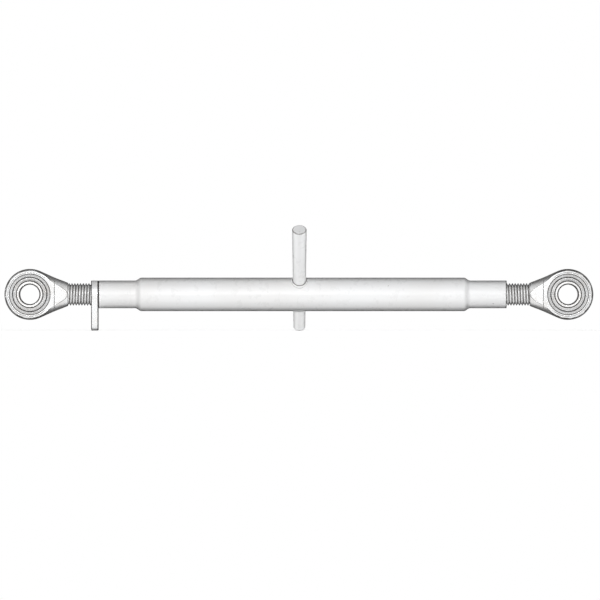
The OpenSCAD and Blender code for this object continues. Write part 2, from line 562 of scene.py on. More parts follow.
    def bump(self, height: Value, depth: float, under: Optional[bpy.types.NodeSocket] = None,
             strength: Value = 1.0) -> bpy.types.NodeSocket:
        """Bends the normal by a height.

        Args:
            height: The height, from 0 to 1.
            depth: Depth in metres that a height of 1 stands for.
            under: Normal of the bump that lies under this one.
            strength: Share of the effect.

        Returns:
            The normal's socket.
        """
        node = self.node("ShaderNodeBump", {"Height": height, "Distance": depth, "Strength": strength})
        if under is not None:
            self.plug(node.inputs["Normal"], under)
        return node.outputs["Normal"]

    def finish(self, **inputs: Value) -> bpy.types.Material:
        """Sets the shader's inputs, with a space for each underscore in a name."""
        for key, value in inputs.items():
            self.plug(self.shader.inputs[key.replace("_", " ")], value)
        return self.material


@dataclass(frozen=True)
class Enamel:
    """Pale sprayed enamel over swaged tube, bar and weld, with bare steel along sharp edges, partly
    wear and partly painted edge shade, and painted shade in corners.
    """

    name: str
    lightness: float = 0.72
    darker: float = 0.95
    scuffed: float = 0.72
    roughness: float = 0.3
    coat_roughness: float = 0.1
    wear_and_shade: Range = (0.35, 0.6)
    # Corner colour: painted shade, partly grime; edge colour: bare steel, partly painted edge shade
    grime_and_shade: Colour = grey(0.12, warmth=0.08)
    steel: Colour = grey(0.22, warmth=0.03)
    scuffs: Range = (0.62, 0.8)
    scuff_share: float = 0.3
    knocks: Range = (0.735, 0.755)
    cloud: float = 70 * MM
    dust: float = 9 * MM
    knock: float = 4 * MM
    chip_depth: float = 0.05 * MM
    peel: float = 1.6 * MM
    peel_depth: float = 0.02 * MM
    draw: float = 1.4 * MM
    draw_depth: float = 0.03 * MM
    draw_stretch: tuple[float, float, float] = (0.06, 1, 1)

    def material(self) -> bpy.types.Material:
        """Builds the material: cloudy coverage, orange peel, the draw lines of the steel under it,
        which run along the piece, small knocks, bare steel on edges, partly wear and partly painted
        edge shade such as at the weld beads' toes, and painted shade in corners, partly grime.

        Returns:
            The material.
        """
        recipe = Recipe(self.name)
        cloud = recipe.noise(self.cloud, detail=4)
        dust = recipe.noise(self.dust, detail=5, roughness=0.7)
        tone = recipe.cloudy(cloud, self.lightness, self.darker, warmth=(-0.006, 0.004))
        scuffs = recipe.span(dust, *self.scuffs, 0, self.scuff_share)
        scuffed = recipe.blend(scuffs, tone, grey(self.lightness * self.scuffed, warmth=0.02))
        # Painted shade in corners, partly grime
        grimy_and_shaded = recipe.blend(recipe.corners(), scuffed, self.grime_and_shade)
        knocks = recipe.span(recipe.noise(self.knock, detail=3, roughness=0.6), *self.knocks)
        # Knocks are chips; the edge mask is partly wear and partly painted edge shade
        bare_and_edge_shade = recipe.math("MAXIMUM", knocks, recipe.edges(self.wear_and_shade))
        colour = recipe.blend(bare_and_edge_shade, grimy_and_shaded, self.steel)
        peel = recipe.bump(recipe.noise(self.peel, detail=2), self.peel_depth)
        lines = recipe.noise(self.draw, detail=3, stretch=self.draw_stretch)
        drawn = recipe.bump(lines, self.draw_depth, peel, strength=0.6)
        normal = recipe.bump(recipe.rest(bare_and_edge_shade), self.chip_depth, drawn)
        return recipe.finish(Base_Color=colour, Roughness=recipe.gloss(dust, self.roughness),
                             Normal=normal, Metallic=bare_and_edge_shade, Coat_Weight=1.0,
                             Coat_Roughness=self.coat_roughness)


@dataclass(frozen=True)
class Zinc:
    """Bright zinc plate over a forging, with machined flats round a bore."""

    name: str
    bore: Sequence[float]
    dish_radius: float
    lightness: float = 0.8
    darker: float = 0.88
    # Lightness share on the sides facing away from the bore's axis: partly duller forged skin, partly
    # painted shade on the rim
    forged_and_shade_share: float = 0.72
    roughness: float = 0.27
    metal: float = 0.65
    flats: Range = (0.9984, 0.9996)
    forged_shaded_sides: Range = (0.3, 0.6)
    rim_faces: Range = (0.75, 0.95)
    wear_and_shade: Range = (0.13, 0.21)
    wear_and_shade_patch: float = 5 * MM
    # Rim's darkened outer half: worn steel and painted edge shade; corners and step: painted shade,
    # partly grime
    worn_and_shaded: Colour = grey(0.09, warmth=0.04)
    grime_and_shade: Colour = grey(0.04, warmth=0.1)
    step_inset: float = 0.1 * MM
    step_reach: Range = (0.65 * MM, 0.3 * MM)
    # Strength of the painted shade in the step round the dish
    step_shade: float = 0.85
    bloom: float = 13 * MM
    pit: float = 1.7 * MM
    pit_share: float = 0.25
    plated_gloss: float = 0.75
    raw_roughness: Range = (0.04, 0.15)
    skin: float = 2.4 * MM
    skin_depth: float = 0.06 * MM
    mark: float = 0.55 * MM
    mark_depth: float = 0.012 * MM

    def material(self) -> bpy.types.Material:
        """Builds the material: the forged skin's lumps and pits where it isn't machined, rings
        from the facing cut on the flats, the plate's cloudy bloom, darker on the sides that face
        away from the bore's axis, which is partly duller forged skin and partly painted shade on
        the rim, the outer half of each rim darkened as wear and painted edge shade, and painted
        shade in corners and in the step round the dish, partly grime.

        Returns:
            The material.
        """
        recipe = Recipe(self.name)
        flat = recipe.facing("Y", *self.flats)
        raw = recipe.rest(flat)
        lumps = recipe.noise(self.skin, detail=4, roughness=0.6)
        pits = recipe.span(recipe.pits(self.pit), 0.0, 0.35)
        rough_skin = recipe.math("MULTIPLY_ADD", pits, self.pit_share, lumps)
        forged = recipe.bump(rough_skin, self.skin_depth, strength=raw)
        ring = recipe.distance((1, 0, 1), self.bore)
        normal = recipe.bump(recipe.rings(ring, self.mark), self.mark_depth, forged, flat)
        bloom = recipe.noise(self.bloom, detail=5, roughness=0.65)
        tone = recipe.cloudy(bloom, self.lightness, self.darker, warmth=(-0.012, 0.016))
        # Darker where facing away from the bore's axis: partly duller forged skin, partly painted
        # shade on the rim
        side = recipe.rest(recipe.facing("Y", *self.forged_shaded_sides))
        dulled_and_shaded = recipe.blend(side, tone, grey(self.lightness * self.forged_and_shade_share, warmth=0.01))
        # Outer half of each rim darkened: partly wear, partly painted edge shade
        outwards = recipe.rest(recipe.facing("Y", *self.rim_faces))
        rubbed_and_shaded = recipe.math("MULTIPLY", recipe.edges(self.wear_and_shade, self.wear_and_shade_patch), outwards)
        worn_and_shaded = recipe.blend(rubbed_and_shaded, dulled_and_shaded, self.worn_and_shaded)
        # Painted shade in the step round the dish and in corners, partly grime
        past_step = recipe.math("SUBTRACT", ring, self.dish_radius - self.step_inset)
        step = recipe.span(recipe.math("ABSOLUTE", past_step), *self.step_reach, 0, self.step_shade)
        colour = recipe.blend(recipe.math("MAXIMUM", step, recipe.corners()), worn_and_shaded, self.grime_and_shade)
        dull = recipe.span(lumps, *VARIED, *self.raw_roughness)
        gloss = recipe.math("MULTIPLY_ADD", raw, dull, self.roughness * self.plated_gloss)
        return recipe.finish(Base_Color=colour, Roughness=gloss, Normal=normal, Metallic=self.metal)


@dataclass(frozen=True)
class ThreadZinc:
    """Bright zinc plate on a cut thread, duller and darker in its roots: painted shade, partly oil."""

    name: str
    crest_radius: float
    root_radius: float
    lightness: float = 0.82
    roughness: float = 0.22
    dulling: float = 0.25
    metal: float = 0.75
    oil_and_root_shade: Colour = grey(0.14, warmth=0.05)
    oiled_and_shaded: Range = (0.2, 0.7)
    least_oil_and_shade: float = 0.6
    root_round: float = 0.1 * MM
    cloud: float = 5 * MM
    drag: float = 0.5 * MM
    drag_depth: float = 0.015 * MM

    def material(self) -> bpy.types.Material:
        """Builds the material: darkened roots, which are painted shade, partly oil, polished crests
        and drag lines along the cut.

        Returns:
            The material.
        """
        recipe = Recipe(self.name)
        radius = recipe.distance((0, 1, 1))
        middle = (self.crest_radius + self.root_radius) / 2
        # Darker towards the roots: painted shade in the recess, partly oil
        depth = recipe.span(radius, middle, self.root_radius + self.root_round)
        cloud = recipe.noise(self.cloud, detail=4)
        oiled_and_shaded = recipe.span(cloud, *self.oiled_and_shaded, self.least_oil_and_shade, 1.0)
        deep = recipe.math("MULTIPLY", depth, oiled_and_shaded)
        tone = recipe.blend(deep, grey(self.lightness), self.oil_and_root_shade)
        lines = recipe.noise(self.drag, detail=2, stretch=(1, 0.15, 0.15))
        normal = recipe.bump(lines, self.drag_depth)
        gloss = recipe.span(deep, 0.0, 1.0, self.roughness, self.roughness + self.dulling)
        return recipe.finish(Base_Color=tone, Roughness=gloss, Normal=normal, Metallic=self.metal)


@dataclass(frozen=True)
class PlateZinc:
    """Bright zinc plate on cut steel plate, with rolled faces and a striped cut edge."""

    name: str
    lightness: float = 0.82
    darker: float = 0.88
    roughness: float = 0.28
    metal: float = 0.65
    faces: Range = (0.9, 0.98)
    wear_and_shade: Range = (0.18, 0.4)
    # Colour of the darkened edges: worn steel and painted edge shade
    worn_and_shaded: Colour = grey(0.05, warmth=0.04)
    bloom: float = 11 * MM
    stripe: float = 0.7 * MM
    stripe_depth: float = 0.02 * MM
    lump: float = 3.5 * MM
    lump_depth: float = 0.03 * MM

    def material(self) -> bpy.types.Material:
        """Builds the material: fine lumps of the rolled faces, stripes across the cut edge, and
        edges darkened to near black, partly as wear and partly as painted edge shade.

        Returns:
            The material.
        """
        recipe = Recipe(self.name)
        edge = recipe.rest(recipe.facing("X", *self.faces))
        stripes = recipe.noise(self.stripe, detail=2, stretch=(0.08, 1, 1))
        cut = recipe.bump(stripes, self.stripe_depth, strength=edge)
        rolled = recipe.noise(self.lump, detail=5, roughness=0.6)
        normal = recipe.bump(rolled, self.lump_depth, cut)
        bloom = recipe.noise(self.bloom, detail=5, roughness=0.65)
        tone = recipe.cloudy(bloom, self.lightness, self.darker, warmth=(-0.012, 0.018))
        # Edges darkened: partly wear, partly painted edge shade
        colour = recipe.blend(recipe.edges(self.wear_and_shade), tone, self.worn_and_shaded)
        return recipe.finish(Base_Color=colour, Roughness=recipe.gloss(rolled, self.roughness),
                             Normal=normal, Metallic=self.metal)


@dataclass(frozen=True)
class TurnedSteel:
    """Hardened steel of a swivel ball, turned on a lathe, and darkened at the bore's mouths and
    where it leaves its socket: painted shade, partly grease."""

    name: str
    bore: Sequence[float]
    bore_radius: float
    half_width: float
    lip_radius: float
    lightness: float = 0.82
    darker: float = 0.88
    roughness: float = 0.2
    metal: float = 0.75
    wear_and_shade: Range = (0.2, 0.45)
    # Colour of the darkened edges: worn steel and painted edge shade
    worn_and_shaded: Colour = grey(0.06, warmth=0.04)
    # Bends and colour of the painted shade under each hub, partly grime
    shade_bend: Range = (0.08, 0.3)
    grime_and_shade: Colour = grey(0.04, warmth=0.1)
    # Colour at the bore's mouths and the lip's ring: painted shade, partly grease
    grease_and_shade: Colour = grey(0.03, warmth=0.1)
    grease_and_shade_share: float = 0.9
    past_lip: Range = (-0.7 * MM, 0.3 * MM)
    past_bore: Range = (1.5 * MM, 1.0 * MM)
    below_face: Range = (-2.0 * MM, -1.2 * MM)
    bloom: float = 10 * MM
    smear: float = 3 * MM
    smear_reach: float = 0.8 * MM
    scratch: float = 0.5 * MM
    mark: float = 0.4 * MM
    mark_depth: float = 0.01 * MM

    def material(self) -> bpy.types.Material:
        """Builds the material: turning rings, a temper bloom, edges darkened as wear and painted edge
        shade, painted shade in the corner under each hub, partly grime, and darkening at the bore's
        mouths and where the ball leaves its socket, which is painted shade, partly grease.

        Returns:
            The material.
        """
        recipe = Recipe(self.name)
        ring = recipe.distance((1, 0, 1), self.bore)
        scratch = recipe.noise(self.scratch, detail=3, stretch=(1, 0.2, 1))
        scratched = recipe.bump(scratch, self.mark_depth)
        normal = recipe.bump(recipe.rings(ring, self.mark), self.mark_depth, scratched)
        bloom = recipe.noise(self.bloom, detail=4)
        tone = recipe.cloudy(bloom, self.lightness, self.darker, warmth=(0.0, 0.02))
        smear = recipe.math("MULTIPLY_ADD", recipe.noise(self.smear, detail=4), self.smear_reach, ring)
        # Dark ring where the ball leaves its socket: painted shade in the gap, partly grease
        lip = recipe.span(smear, *(self.lip_radius + past for past in self.past_lip), 0,
                          self.grease_and_shade_share)
        # Darker at the bore's mouths: painted shade, partly grease
        near_bore = recipe.span(ring, *(self.bore_radius + past for past in self.past_bore))
        from_middle = recipe.distance((0, 1, 0), self.bore)
        near_face = recipe.span(from_middle, *(self.half_width + past for past in self.below_face))
        mouth = recipe.math("MULTIPLY", near_bore, near_face)
        greased_and_shaded = recipe.blend(recipe.math("MAXIMUM", lip, mouth), tone, self.grease_and_shade)
        # Painted shade in the corner under each hub, partly grime
        grimy_and_shaded = recipe.blend(recipe.corners(*self.shade_bend), greased_and_shaded, self.grime_and_shade)
        colour = recipe.blend(recipe.edges(self.wear_and_shade), grimy_and_shaded, self.worn_and_shaded)
        return recipe.finish(Base_Color=colour, Roughness=recipe.gloss(bloom, self.roughness),
                             Normal=normal, Metallic=self.metal)


# Sub-assemblies

@dataclass
class Screw:
    """External thread cut along a shank, as one helical surface."""

    start: float
    end: float
    hand: Hand
    radius: float = 11.1 * MM
    pitch: float = 25.4 * MM / 9
    depth_share: float = 0.6134
    core_share: float = 0.9
    tip_share: float = 0.97
    tip_slope: float = 1.1
    merge: float = 0.0005 * MM
    columns: int = 96

    @property
    def root(self) -> float:
        """Radius at the bottom of the thread."""
        return self.radius - self.depth_share * self.pitch

    def surface(self) -> np.ndarray:
        """Works out the thread. Rows follow the helix: at angle a, a row at t pitches lies at
        x = t + hand * a / (one turn) pitches, so crest and root are lines of the grid. The
        radius depends on t alone: a rolled crest, flanks of 60 degrees to each other, and a narrow
        root, with the corners of each eased. Over the last pitch it runs down to the tip, and rows
        past either end close in to the core there.

        Returns:
            Grid of points, whose last column lies on the first one moved by a pitch.
        """
        # Half a tooth: places in pitches from its crest, and heights as shares of its depth
        half_place = np.array([0.07, 0.105, 0.26, 0.4, 0.44])
        half_share = np.array([1, 0.95, 0.5, 0.05, 0])
        place = np.concatenate([[0], half_place, [0.5], 1 - half_place[::-1]])
        share = np.concatenate([[1], half_share, [0], half_share[::-1]])
        first, last = sorted((self.start, self.end))
        pitches = np.arange(-2, math.ceil((last - first) / self.pitch) + 3)
        along = (pitches[:, None] + place).ravel()[:, None]
        tooth = np.tile(share, len(pitches))[:, None]
        angle = np.linspace(0, TURN, self.columns + 1)
        x = first + self.pitch * (along + self.hand.value * angle / TURN)
        radius = self.root + tooth * (self.radius - self.root) + 0 * x
        from_tip = np.clip(np.abs(self.end - x), 0, self.pitch)
        radius = np.minimum(radius, self.root * self.tip_share + from_tip * self.tip_slope)
        inside = (x >= first) & (x <= last)
        radius = np.where(inside, radius, self.root * self.core_share)
        x = np.clip(x, first, last)
        return np.stack([x, radius * np.cos(angle), radius * np.sin(angle)], axis=-1)

    def build(self, name: str) -> bpy.types.Object:
        """Makes the screw, closed at both ends.

        Args:
            name: Name of the piece.

        Returns:
            The piece.
        """
        skin = Skin()
        numbers = skin.grid(self.surface(), wrap_columns=False)
        first, last = sorted((self.start, self.end))
        skin.fan(numbers[0, :-1], (first, 0, 0))
        skin.fan(numbers[-1, :-1], (last, 0, 0))
        finish = ThreadZinc(f"{name}_zinc", self.radius, self.root)
        return skin.build(name, finish.material(), weld=self.merge)


@dataclass
class BallEnd:
    """Forged eye with a conical neck and its screw, and the swivel ball that it holds."""

    name: str
    centre: float
    towards: int
    hand: Hand
    eye_radius: float
    thickness: float
    tip: float
    ball_radius: float
    ball_width: float
    draft: float = math.radians(5)
    rim: float = 1.8 * MM
    neck_rim: float = 0.35 * MM
    fillet: float = 1.4 * MM
    reach: float = 38 * MM
    neck_radius: float = 11.4 * MM
    neck_hollow: float = 0.35 * MM
    neck_round: float = 0.5 * MM
    crease_at: float = 24.4 * MM
    crease_depth: float = 0.22 * MM
    crease_width: float = 0.3 * MM
    # Width and strength of the painted shade lines along the crease and the neck's flat edges
    shade_line_width: float = 0.4 * MM
    shade_line_bend: float = 0.6
    draw_in: float = 0.9 * MM
    socket_radius: float = 20.15 * MM
    dish_depth: float = 2 * MM
    dish_width: float = 3.2 * MM
    dish_step: float = 0.3 * MM
    step_round: float = 0.15 * MM
    lip_round: float = 0.35 * MM
    lip_angle: float = 0.03
    screw_overlap: float = 1.0 * MM
    parting_height: float = 0.14 * MM
    parting_width: float = 0.7 * MM
    hub_radius: float = 13.45 * MM
    hub_bevel: float = 0.8 * MM
    hub_fillet: float = 0.4 * MM
    hub_clear: float = 0.5 * MM
    bore_radius: float = 9.7 * MM
    bore_bevel: float = 0.6 * MM
    around: int = 560
    rays: int = 500
    over_crease: Range = (-0.7 * MM, 0.7 * MM)
    over_edge: Range = (-0.6 * MM, 1.5 * MM)
    crease_gap: float = 2.2 * MM
    dish_gap: float = 1.2 * MM
    bend_gap: float = 0.4 * MM
    bend_width: float = 0.3 * MM
    ball_columns: int = 144

    @classmethod
    def from_frame(cls, name: str, towards: int, hand: Hand) -> "BallEnd":
        """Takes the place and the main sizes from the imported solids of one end.

        Args:
            name: "left" or "right".
            towards: 1 where the screw points along +X from the eye, and -1 where it points back.
            hand: Hand of its thread.

        Returns:
            The ball end.
        """
        low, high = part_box(f"{name}_ball_end")
        ball_low, ball_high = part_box(f"{name}_ball")
        centre = (ball_low.x + ball_high.x) / 2
        return cls(name, centre, towards, hand, eye_radius=(high.z - low.z) / 2,
                   thickness=high.y - low.y, tip=high.x - centre if towards > 0 else centre - low.x,
                   ball_radius=(ball_high.x - ball_low.x) / 2, ball_width=ball_high.y - ball_low.y)

    @property
    def mouth_height(self) -> float:
        """Height of the socket's mouth above the eye's middle plane."""
        return self.thickness / 2 - self.dish_depth

    @property
    def mouth_radius(self) -> float:
        """Radius of the socket's mouth."""
        return math.sqrt(self.socket_radius ** 2 - self.mouth_height ** 2)

    @property
    def dish_radius(self) -> float:
        """Radius of the dish's outer edge on the flat."""
        return self.mouth_radius + self.dish_width

    @property
    def skin_radius(self) -> float:
        """Radius of the rim beside the ridge that the dies leave on the middle plane."""
        return self.eye_radius - self.parting_height

    @property
    def tangent_angle(self) -> float:
        """Angle round the eye at which the neck's cone touches the rim."""
        span = math.hypot(self.reach, self.neck_radius)
        return math.atan2(self.neck_radius, self.reach) + math.acos(self.skin_radius / span)

    @property
    def cone_start(self) -> float:
        """Distance from the eye's centre at which the neck's cone leaves the rim."""
        return self.skin_radius * math.cos(self.tangent_angle)

    def neck_share(self, x: np.ndarray) -> np.ndarray:
        """Share of the way from the cone's tangent line to the neck's end."""
        return np.clip((x - self.cone_start) / (self.reach - self.cone_start), 0, 1)

    def cone_radius(self, x: np.ndarray) -> np.ndarray:
        """Radius of the neck: straight from the tangent line to the end, less a slight hollow that
        is a squared sine of the share of the way.

        Args:
            x: Distances from the eye's centre towards the screw.

        Returns:
            The radius at each distance.
        """
        share = self.neck_share(x)
        wide = self.skin_radius * math.sin(self.tangent_angle)
        hollow = self.neck_hollow * np.sin(math.pi * share) ** 2
        return wide * (1 - share) + self.neck_radius * share - hollow

    def flat_height(self, x: np.ndarray) -> np.ndarray:
        """Height of a flat above the middle plane: even over the eye, and drawn in evenly past the
        crease, where the dies leave a fine groove.

        Args:
            x: Distances from the eye's centre towards the screw.

        Returns:
            The height at each distance.
        """
        draw = np.clip((x - self.crease_at) / (self.reach - self.crease_at), 0, 1) * self.draw_in
        groove = self.crease_depth * np.exp(-((x - self.crease_at) / self.crease_width) ** 2)
        return self.thickness / 2 - draw - groove

    def depth_inside(self, x: np.ndarray, y: np.ndarray, z: np.ndarray) -> np.ndarray:
        """Signed distance to the forging, negative inside. Its sides are the eye's rim, which
        falls away by the draft from the middle plane, and the neck's cone, with a fillet that
        widens away from the middle plane. Two flats meet the sides in a rounded edge. The dies
        leave a low ridge along the middle plane.

        Args:
            x: Distance from the eye's centre towards the screw.
            y: Distance from the middle plane, along the bore.
            z: Distance above the link's axis.

        Returns:
            The distance, in the layout of the arguments.
        """
        slope = math.sin(self.tangent_angle)
        cone = np.maximum((np.hypot(y, z) - self.cone_radius(x)) * slope, self.cone_start - x)
        rim_gap = np.hypot(x, z) - self.skin_radius + np.abs(y) * math.tan(self.draft)
        width = self.fillet * np.clip(2 * np.abs(y) / self.thickness, 0.02, 1)
        side = blended_min(rim_gap * math.cos(self.draft), cone, width)
        side = blended_max(side, x - self.reach, self.neck_round)
        edge = self.rim + (self.neck_rim - self.rim) * np.clip(self.neck_share(x) * 4, 0, 1)
        beyond_side, beyond_flat = side + edge, np.abs(y) - self.flat_height(x) + edge
        body = (np.hypot(np.maximum(beyond_side, 0), np.maximum(beyond_flat, 0))
                + np.minimum(np.maximum(beyond_side, beyond_flat), 0) - edge)
        return body - self.parting_height * np.exp(-(y / self.parting_width) ** 2)

    def flat_edge(self, turn: np.ndarray) -> np.ndarray:
        """Distance from the bore's axis to the edge of a flat, at each angle round the bore. It is
        where the rim's round starts, or farther out on the neck, where a place at the flat's
        height comes out of the cone, which halving finds.

        Args:
            turn: Angles round the bore.

        Returns:
            The distances.
        """
        def in_cone(away: np.ndarray) -> np.ndarray:
            """Whether a place at the flat's height lies in the cone."""
            x, z = away * np.cos(turn), away * np.sin(turn)
            return (x > self.cone_start) & (np.hypot(self.flat_height(x), z) < self.cone_radius(x))

        drafted = self.skin_radius - self.thickness / 2 * math.tan(self.draft)
        on_rim = np.full(turn.shape, drafted - self.rim)
        return halved(in_cone, on_rim, np.full(turn.shape, self.reach), rounds=22)

    def stations(self, turn: np.ndarray, total: np.ndarray) -> np.ndarray:
        """Lengths along each row at which its points lie, measured from the dish's edge. They are
        close together over the crease and over the edge of each flat, and even between.

        Args:
            turn: Angles round the bore, as a column.
            total: Length of each row, as a column.

        Returns:
            Lengths, one row for each angle.
        """
        edge = self.flat_edge(turn) - self.dish_radius
        crease = self.crease_at / np.maximum(np.cos(turn), 0.2) - self.dish_radius
        crease = np.minimum(crease, edge - self.crease_gap)
        crease = np.where(crease < self.dish_gap, 0.5 * edge, crease)
        over = np.linspace(*self.over_crease, 7)
        round_edge = np.linspace(*self.over_edge, 10)
        before = np.linspace(0, 1, 7)[:-1] * (crease + over[0])
        between = np.linspace(0, 1, 12)[1:-1] * (edge + round_edge[0] - crease - over[-1])
        flat = [before, crease + over, crease + over[-1] + between, edge + round_edge]
        first = np.concatenate(flat, axis=1)
        reach = first[:, -1:]
        side = reach + np.linspace(0, 1, 52)[1:-1] * (total - 2 * reach)
        return np.concatenate([first, side, (total - first)[:, ::-1]], axis=1)

    def socket_line(self) -> np.ndarray:
        """Line of the forging's inside: from the lower flat, over the dish's step, the dish, the
        lip and the seat, which is an arc of the socket's sphere, and back up to the upper flat.

        Returns:
            Rows of (distance from the bore's axis, height).
        """
        top, lip, mouth = self.thickness / 2, self.mouth_height, self.mouth_radius
        seat_angle = math.asin(lip / self.socket_radius) - self.lip_angle
        arc = np.linspace(-seat_angle, seat_angle, 25)
        seat = self.socket_radius * np.column_stack([np.cos(arc), np.sin(arc)])
        down = shouldered(rounded([
            (self.dish_radius, top, 0), (self.dish_radius, top - self.dish_step, self.step_round),
            (mouth, lip, self.lip_round), (*seat[-1], 0)], steps=5), self.bend_gap)
        return np.concatenate([down[1:] * (1, -1), seat, down[:0:-1]])

    def shade_lines(self, turn: np.ndarray, across: np.ndarray, height: np.ndarray) -> np.ndarray:
        """How much painted shade darkens the crease's groove and the flats' edges on the neck, as a
        bell curve of the distance from each.

        Args:
            turn: Angles round the bore, as a column.
            across: Distance of each point from the bore's axis.
            height: Height of each point above the middle plane.

        Returns:
            The share at each point.
        """
        edge = self.flat_edge(turn)
        on_flat = np.abs(height) > self.thickness / 2 - self.draw_in - self.rim
        on_neck = np.clip((edge - self.skin_radius + self.rim) / self.rim, 0, 1)
        crease = np.exp(-((across * np.cos(turn) - self.crease_at) / self.crease_width) ** 2)
        line = on_neck * np.exp(-((across - edge) / self.shade_line_width) ** 2)
        return np.maximum(crease, line) * on_flat

    def forging_surface(self) -> Surface:
        """Works out the forging as rings of rays. From a circle in the middle plane, under the
        dish's edge, a ray goes out at each angle round the bore and each angle from +Y over the
        rim to -Y, to the place where the distance is zero, which halving finds. A first pass
        with even angles gives the length of each row, and the second puts its points at their
        stations. The dish, the lip and the seat close each row on the inside.

        Returns:
            Grid of points, closed both ways, and the bend at each. The lines of painted shade count
            as corners.
        """
        turn = np.linspace(0, TURN, self.around, endpoint=False)[:, None]

        def outer(tilt: np.ndarray) -> tuple[np.ndarray, np.ndarray]:
            """Finds the skin along the rays at a tilt.

            Args:
                tilt: Angle of each ray from +Y.

            Returns:
                Distance from the bore's axis, and height.
            """
            def place(away: np.ndarray) -> tuple[np.ndarray, np.ndarray]:
                """Distance from the bore's axis and height, some way along each ray."""
                return self.dish_radius + away * np.sin(tilt), away * np.cos(tilt)

            def forged(away: np.ndarray) -> np.ndarray:
                """Whether a place along each ray lies in the forging."""
                across, height = place(away)
                return self.depth_inside(across * np.cos(turn), height, across * np.sin(turn)) < 0

            far = np.full(tilt.shape, 2 * self.reach)
            return place(halved(forged, np.zeros(tilt.shape), far, rounds=26))

        even = np.broadcast_to(np.linspace(0, math.pi, self.rays), (self.around, self.rays))
        across, height = outer(even)
        steps = np.hypot(np.diff(across), np.diff(height))
        length = np.concatenate([np.zeros((self.around, 1)), np.cumsum(steps, axis=1)], axis=1)
        places = self.stations(turn, length[:, -1:])
        tilt = np.array([np.interp(place, row, even[0]) for place, row in zip(places, length)])
        line = self.socket_line()
        inside = np.broadcast_to(line.T[:, None], (2, self.around, len(line)))
        across, height = np.concatenate([outer(tilt), inside], axis=2)
        bend = np.array([bends(row, self.bend_width) for row in np.stack([across, height], axis=-1)])
        x = self.centre + self.towards * across * np.cos(turn)
        points = np.stack([x, height, across * np.sin(turn)], axis=-1)
        # The painted shade lines count as corners, which the finish darkens
        return points, bend - self.shade_line_bend * self.shade_lines(turn, across, height)

    def ball_surface(self) -> Surface:
        """Works out the ball as a ring turned about the bore: the sphere, a hub with bevelled
        edges on each side, and the bore with its bevelled mouths.

        Returns:
            Grid of points, closed both ways, and the bend of each row.
        """
        half, hub, bore = self.ball_width / 2, self.hub_radius, self.bore_radius
        meet = math.acos((hub + self.hub_clear) / self.ball_radius)
        arc = np.linspace(meet, -meet, 40)
        globe = np.column_stack([self.ball_radius * np.cos(arc), self.ball_radius * np.sin(arc)])
        shoulder = math.sqrt(self.ball_radius ** 2 - hub ** 2)
        side = shouldered(rounded([
            (bore, 0, 0), (bore, half, self.bore_bevel), (hub, half, self.hub_bevel),
            (hub, shoulder, self.hub_fillet), (*globe[0], 0)]))
        ring = np.concatenate([side, globe[1:-1], side[:0:-1] * (1, -1)])
        points = along_y(revolved(ring, self.ball_columns)) + np.array([self.centre, 0, 0])
        return points, bends(ring)[:, None]

    def build(self) -> list[bpy.types.Object]:
        """Makes the forging, the screw and the ball.

        Returns:
            The pieces, each riding on its body.
        """
        bore = (self.centre, 0.0, 0.0)
        zinc = Zinc(f"{self.name}_forging_zinc", bore, self.dish_radius)
        eye = closed(f"{self.name}_forged_eye", self.forging_surface(), zinc.material(), crease=50)
        neck = self.centre + self.towards * (self.reach - self.screw_overlap)
        tip = self.centre + self.towards * self.tip
        screw = Screw(neck, tip, self.hand).build(f"{self.name}_screw")
        steel = TurnedSteel(f"{self.name}_ball_steel", bore, self.bore_radius, self.ball_width / 2,
                            self.mouth_radius)
        ball = closed(f"{self.name}_swivel_ball", self.ball_surface(), steel.material())
        for piece in (eye, screw):
            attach(piece, f"{self.name}_end")
            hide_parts(f"{self.name}_ball_end")
        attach(ball, f"{self.name}_ball")
        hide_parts(f"{self.name}_ball")
        return [eye, screw, ball]


